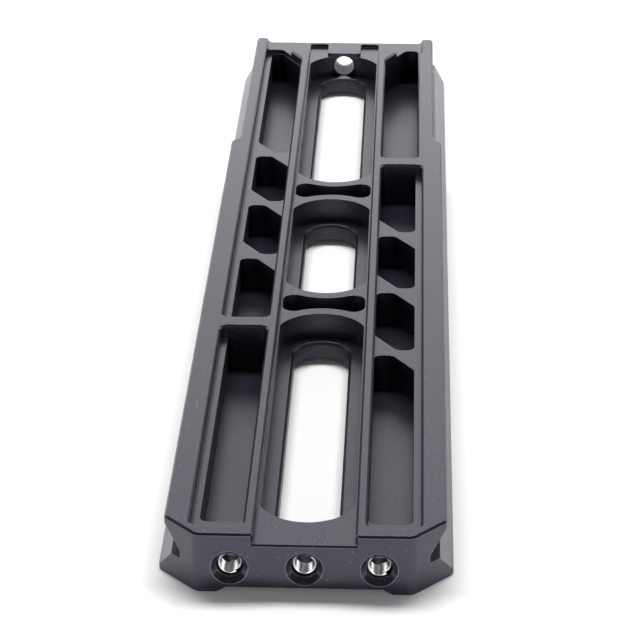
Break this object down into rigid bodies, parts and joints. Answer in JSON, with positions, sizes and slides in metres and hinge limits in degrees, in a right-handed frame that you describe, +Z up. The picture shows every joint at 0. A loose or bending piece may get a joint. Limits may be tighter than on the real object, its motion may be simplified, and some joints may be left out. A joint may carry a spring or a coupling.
{
  "type": "camera base plate",
  "caption": "Long double-dovetail camera base plate: one milled bar with stepped camera screw slots, webbed lightening pockets and threads in one end.",
  "frame": {"origin": "middle of the underside", "axes": "+Y along the plate towards its far end, +Z up out of the pocketed side"},
  "size_m": [0.08, 0.38, 0.0181],
  "materials": {
    "anodised_plate": "black anodised over a bead-blasted milled surface",
    "steel_wire": "bright rolled stainless wire"
  },
  "bodies": {
    "root": {"base_plate": "anodised_plate", "thread_insert_near_left": "steel_wire", "thread_insert_near_centre": "steel_wire", "thread_insert_near_right": "steel_wire"}
  },
  "joints": []
}
